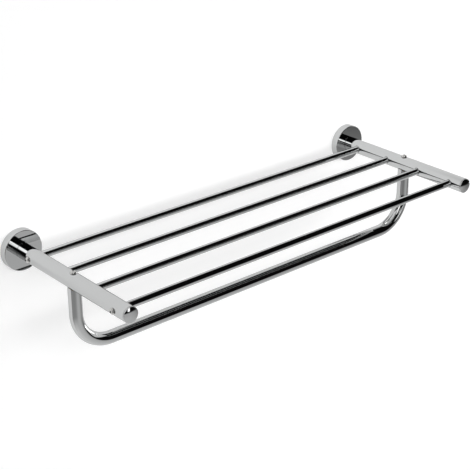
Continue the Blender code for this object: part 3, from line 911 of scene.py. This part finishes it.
along_x = Matrix.Rotation(math.pi / 2, 4, "Y")
rods = grown("shelf_rods", turned("blank", rod_runs(), ROD_FACETS, along_x), rods_tree(chrome))
make_piece("shelf_rods", rods, [f"shelf_bar_{i + 1}" for i in range(ROD_COUNT)])

leg = ARM_SPACING / 2
corners = ((-leg, 0), (-leg, -TOWEL_DROP), (leg, -TOWEL_DROP), (leg, 0))
corners = [(x, -TOWEL_DISTANCE, z) for x, z in corners]
route = bpy.data.meshes.new("towel_bar_route")
route.from_pydata(corners, [(0, 1), (1, 2), (2, 3)], [])
towel_bar = grown("towel_bar_tube", route, towel_bar_tree(chrome))
shade_as_bent_tube(towel_bar)
make_piece("towel_bar_tube", towel_bar, ["towel_bar"])

threading, pair = screw_tree(steel), pair_tree(steel)
pan_screw = cut_screw("pan_screw", threading, PAN_SCREW, PAN_SOCKET)
pan_screws = grown("pan_screws", pan_screw, rod_screws_tree(steel))
replaced = [f"{label}_{which}_bar_screw" for label, _ in SIDES for which in ("rear", "front", "towel")]
make_piece("pan_screws", pan_screws, replaced)
flange_screw = cut_screw("flange_screw", threading, FLANGE_SCREW, FLANGE_SOCKET)
underside = FLANGE_INSIDE - CLEARANCE
flange_screws = grown("flange_screws", flange_screw, pair, Distance=underside, Turn=-math.pi / 2)
make_piece("flange_screws", flange_screws, [f"{label}_flange_screw" for label, _ in SIDES])
set_screw = cut_screw("set_screw", threading, SET_SCREW, SET_SOCKET)
set_screws = grown(
    "set_screws", set_screw, pair, Distance=PLATE_DEPTH / 2, Height=-SET_SCREW_START, Turn=math.pi
)
make_piece("set_screws", set_screws, [f"{label}_grub_screw" for label, _ in SIDES])

# Studio

# A white wall and a grey floor stand under two soft lamps. In front is a dark room, with softboxes for the
# chrome to mirror, which light nothing. Their levels are shares of white.
WALL_FACE = CLEARANCE  # just behind the flanges
WALL_HALF = 3.3
WALL_TOP = 1.2
WALL_GLOW = 0.61
WALL_SLOPE = (0.03, 0.0, -0.12)  # how much more the wall glows for each metre along X, Y and Z
FLOOR = -2.52
BELOW_RACK = (0.0, 0.0, FLOOR)
FLOOR_GLOW = 0.86
FLOOR_HALVED = 13.1  # how far from below the rack the floor's own glow is half as bright
FLOOR_AREA = (BELOW_RACK, 6.5, 2.0)  # middle, radius and the width of the fade round it
LIT_AREA = ((1.6, -5.37, FLOOR), 1.09, 3.46)  # the same for a pool of light on the floor
LIT_GLOW = 0.36
ROOM_RADIUS = 8.9
ROOM_GLOW = 0.004
AMBIENT = 0.20  # the world's light on what is matte

# Soft edges: a way, how far along it the edge starts, its width, and the share that is left past it
WALL_EDGES = (
    ((0.12, 0.0, 1.0), 0.2, 0.61, 0.0),
    ((1.0, 0.0, 0.0), 2.2, 0.44, 0.44),
    ((1.0, 0.0, 0.0), 2.6, 0.6, 0.0),
    ((-1.0, 0.0, 0.0), 2.6, 0.6, 0.0),
)
FLOOR_EDGES = (
    ((-1.0, 0.0, 0.0), 1.14, 3.44, 0.45),
    ((0.42, -0.91, 0.0), -0.44, 5.77, 0.30),
)

# Azimuth and elevation, half width and half height, softness, level and turn, with all angles in degrees
SOFTBOXES = (
    ("right panel", 76.6, 8.8, 20.0, 22.5, 1.0, 0.83, -18.4),
    ("right panel, near", 91.3, -9.7, 12.9, 18.7, 3.9, 5.0, -35.0),
    ("low strip", 3.4, 3.1, 18.0, 1.6, 15.5, 1.05, -31.6),
    ("left front", -35.5, 26.5, 15.8, 5.2, 2.9, 2.9, 35.0),
    ("upper left", -65.0, 62.5, 31.1, 24.1, 1.8, 1.07, -25.7),
    ("ceiling", 12.2, 75.4, 53.2, 22.7, 1.3, 0.75, 6.9),
    ("left wing", -79.0, 4.3, 6.1, 28.9, 2.9, 0.85, 9.3),
    ("stand", -34.9, 4.0, 1.9, 18.5, 1.8, 2.3, 0.0),
    ("upper right", 91.8, 74.0, 25.3, 11.2, 6.7, 2.3, -8.1),
    ("spot", 22.0, -7.0, 3.0, 8.0, 2.5, 2.4, -5.0),
)

# In front of the rack, a small lamp high on the left and a long low one on the right: azimuth and elevation
# in degrees, size in metres and power in watts
LAMPS = (("high_lamp", -21.7, 25.9, (1.6, 0.5), 23), ("low_lamp", 29.6, 8.7, (3.6, 0.7), 46))
LAMP_DISTANCE = 2.7

# Camera, fitted to the outlines in the photograph, with its azimuth, downward tilt and roll in degrees
CAMERA_PLACE = (-0.98236, -1.23362, 0.65495)
CAMERA_ANGLES = (40.358, 24.633, -0.431)
CAMERA_LENS = 97.105
CAMERA_SENSOR = 36


def make_stage(name, mesh, material):
    """Puts a mesh in the scene that isn't part of the rack."""
    mesh.materials.append(material)
    mesh.name = name
    obj = bpy.data.objects.new(name, mesh)
    bpy.context.scene.collection.objects.link(obj)
    obj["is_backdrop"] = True
    return obj


def sheet(points):
    """A mesh with one flat face."""
    mesh = bpy.data.meshes.new("sheet")
    mesh.from_pydata(points, [], [(0, 1, 2, 3)])
    return mesh


def seen(tree):
    """One for what shows to the camera, in metal or through glass, and nothing for what lights things."""
    rays = add(tree, "ShaderNodeLightPath").outputs
    mirrored = [rays["Is Glossy Ray"], rays["Is Transmission Ray"]]
    mirrored = add(tree, "ShaderNodeMath", mirrored, operation="MAXIMUM")
    return add(tree, "ShaderNodeMath", [rays["Is Camera Ray"], mirrored], operation="MAXIMUM")


def backdrop_finish(name, colour, glow, cover):
    """Matte paint with its white from the backdrop, see-through from behind and where cover runs out."""
    material, tree = new_finish(name)
    spot = add(tree, "ShaderNodeTexCoord").outputs["Object"]
    strength = add(tree, "ShaderNodeMath", [seen(tree), glow(tree, spot)], operation="MULTIPLY")
    paint = add(tree, "ShaderNodeBsdfDiffuse", {"Color": linear(colour)})
    light = add(tree, "ShaderNodeEmission", {"Strength": strength})
    both = add(tree, "ShaderNodeAddShader", [paint, light])
    behind = add(tree, "ShaderNodeNewGeometry").outputs["Backfacing"]
    front = add(tree, "ShaderNodeMath", [1.0, behind], operation="SUBTRACT")
    shown = add(tree, "ShaderNodeMath", [front, cover(tree, spot)], operation="MULTIPLY")
    clear = add(tree, "ShaderNodeBsdfTransparent")
    add(tree, "ShaderNodeOutputMaterial", [add(tree, "ShaderNodeMixShader", [shown, clear, both])])
    return material


def dimmed(tree, spot, level, edges):
    """Dims a level past soft edges."""
    for way, start, width, left in edges:
        far = add(tree, "ShaderNodeVectorMath", [spot, way], operation="DOT_PRODUCT").outputs["Value"]
        edge = {"Value": far, "From Min": start, "From Max": start + width, "To Min": 1.0, "To Max": left}
        edge = add(tree, "ShaderNodeMapRange", edge, interpolation_type="SMOOTHSTEP")
        level = add(tree, "ShaderNodeMath", [edge, level], operation="MULTIPLY")
    return level


def round_area(tree, spot, middle, radius, fade):
    """One within a radius of a middle, and nothing past a soft fade."""
    far = add(tree, "ShaderNodeVectorMath", [spot, middle], operation="DISTANCE").outputs["Value"]
    rim = {"Value": far, "From Min": radius, "From Max": radius + fade, "To Min": 1.0, "To Max": 0.0}
    return add(tree, "ShaderNodeMapRange", rim, interpolation_type="SMOOTHSTEP")


def wall_glow(tree, spot):
    """Makes up for the lamps, which light the lower right of the wall least."""
    more = add(tree, "ShaderNodeVectorMath", [spot, WALL_SLOPE], operation="DOT_PRODUCT").outputs["Value"]
    return add(tree, "ShaderNodeMath", [more, WALL_GLOW], operation="ADD")


def wall_cover(tree, spot):
    """The wall ends above the rack and far to its sides."""
    return dimmed(tree, spot, 1.0, WALL_EDGES)


def floor_glow(tree, spot):
    """Brightest by the wall, darker to the left and away from it, with a pool of light in front."""
    far = add(tree, "ShaderNodeVectorMath", [spot, BELOW_RACK], operation="DISTANCE").outputs["Value"]
    share = add(tree, "ShaderNodeMath", [far, FLOOR_HALVED], operation="DIVIDE")
    bottom = add(tree, "ShaderNodeMath", [share, share, 1.0], operation="MULTIPLY_ADD")
    level = add(tree, "ShaderNodeMath", [FLOOR_GLOW, bottom], operation="DIVIDE")
    level = dimmed(tree, spot, level, FLOOR_EDGES)
    lit = round_area(tree, spot, *LIT_AREA)
    return add(tree, "ShaderNodeMath", [lit, LIT_GLOW, level], operation="MULTIPLY_ADD")


def floor_cover(tree, spot):
    """The floor fades into the dark room all round."""
    return round_area(tree, spot, *FLOOR_AREA)


def room_finish():
    """The dark room as a dome, with each softbox painted in its direction."""
    material, tree = new_finish("dark_room_with_softboxes")
    spot = add(tree, "ShaderNodeTexCoord").outputs["Object"]
    way = add(tree, "ShaderNodeVectorMath", [spot], operation="NORMALIZE")
    way = add(tree, "ShaderNodeSeparateXYZ", [way]).outputs
    out = add(tree, "ShaderNodeMath", [way["Y"], -1.0], operation="MULTIPLY")
    azimuth = add(tree, "ShaderNodeMath", [way["X"], out], operation="ARCTAN2")
    azimuth = add(tree, "ShaderNodeMath", [azimuth], operation="DEGREES")
    elevation = add(tree, "ShaderNodeMath", [way["Z"]], operation="ARCSINE")
    elevation = add(tree, "ShaderNodeMath", [elevation], operation="DEGREES")
    spot = add(tree, "ShaderNodeCombineXYZ", {"X": azimuth, "Y": elevation})
    total = ROOM_GLOW
    for _, across, up, half_width, half_height, soft, level, turn in SOFTBOXES:
        c, s = math.cos(math.radians(turn)), math.sin(math.radians(turn))
        for half, way in ((half_width, (c, s, 0.0)), (half_height, (-s, c, 0.0))):
            middle, start = across * way[0] + up * way[1], half - soft / 2
            far = add(tree, "ShaderNodeVectorMath", [spot, way], operation="DOT_PRODUCT").outputs["Value"]
            far = add(tree, "ShaderNodeMath", [far, middle], operation="SUBTRACT")
            far = add(tree, "ShaderNodeMath", [far], operation="ABSOLUTE")
            edge = {"Value": far, "From Min": start, "From Max": start + soft, "To Min": 1.0, "To Max": 0.0}
            edge = add(tree, "ShaderNodeMapRange", edge, interpolation_type="SMOOTHSTEP")
            level = add(tree, "ShaderNodeMath", [edge, level], operation="MULTIPLY")
        total = add(tree, "ShaderNodeMath", [level, total], operation="ADD")
    add(tree, "ShaderNodeOutputMaterial", [add(tree, "ShaderNodeEmission", {"Strength": total})])
    return material


reach = WALL_HALF
corners = ((-reach, FLOOR), (reach, FLOOR), (reach, WALL_TOP), (-reach, WALL_TOP))
wall = sheet([(x, WALL_FACE, z) for x, z in corners])
make_stage("wall", wall, backdrop_finish("white_wall_paint", "#BCBCBC", wall_glow, wall_cover))
reach = ROOM_RADIUS
corners = ((-reach, -reach), (reach, -reach), (reach, WALL_FACE), (-reach, WALL_FACE))
floor = sheet([(x, y, FLOOR) for x, y in corners])
make_stage("floor", floor, backdrop_finish("grey_floor_paint", "#707070", floor_glow, floor_cover))
dome = turned("dome", [arc((0, 0), ROOM_RADIUS, 90, -90, DOME_FACETS // 2)], DOME_FACETS)
room = make_stage("dark_room", dome, room_finish())
room.visible_camera = False
room.visible_diffuse = False
room.visible_shadow = False

world = bpy.data.worlds.new("white_studio")
world.use_nodes = True
world.node_tree.nodes.clear()
level = {"Value": seen(world.node_tree), "To Min": AMBIENT, "To Max": 1.0}
level = add(world.node_tree, "ShaderNodeMapRange", level)
light = add(world.node_tree, "ShaderNodeBackground", {"Color": linear("#FFFFFF"), "Strength": level})
add(world.node_tree, "ShaderNodeOutputWorld", [light])
bpy.context.scene.world = world

for name, across, up, size, power in LAMPS:
    azimuth, elevation = math.radians(across), math.radians(up)
    flat = math.cos(elevation)
    way = Vector((math.sin(azimuth) * flat, -math.cos(azimuth) * flat, math.sin(elevation)))
    lamp_data = bpy.data.lights.new(name, "AREA")
    lamp_data.shape = "RECTANGLE"
    lamp_data.size, lamp_data.size_y = size
    lamp_data.energy = power
    lamp = bpy.data.objects.new(name, lamp_data)
    lamp.location = way * LAMP_DISTANCE
    lamp.rotation_euler = way.to_track_quat("Z", "Y").to_euler()
    lamp.visible_camera = False
    lamp.visible_glossy = False
    bpy.context.scene.collection.objects.link(lamp)

azimuth, down, roll = (math.radians(angle) for angle in CAMERA_ANGLES)
forward = Vector((math.sin(azimuth) * math.cos(down), math.cos(azimuth) * math.cos(down), -math.sin(down)))
level_right = Vector((math.cos(azimuth), -math.sin(azimuth), 0))
level_up = level_right.cross(forward)
right = math.cos(roll) * level_right + math.sin(roll) * level_up
up = math.cos(roll) * level_up - math.sin(roll) * level_right
camera_data = bpy.data.cameras.new("camera")
camera_data.lens = CAMERA_LENS
camera_data.sensor_width = CAMERA_SENSOR
camera = bpy.data.objects.new("camera", camera_data)
turn = Matrix((right, up, -forward)).transposed().to_4x4()
camera.matrix_world = Matrix.Translation(CAMERA_PLACE) @ turn
bpy.context.scene.collection.objects.link(camera)
bpy.context.scene.camera = camera
bpy.context.scene.view_settings.view_transform = "Standard"

sizes = {"cad_box": cad_box, "visual_box": [list(corner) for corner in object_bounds()]}
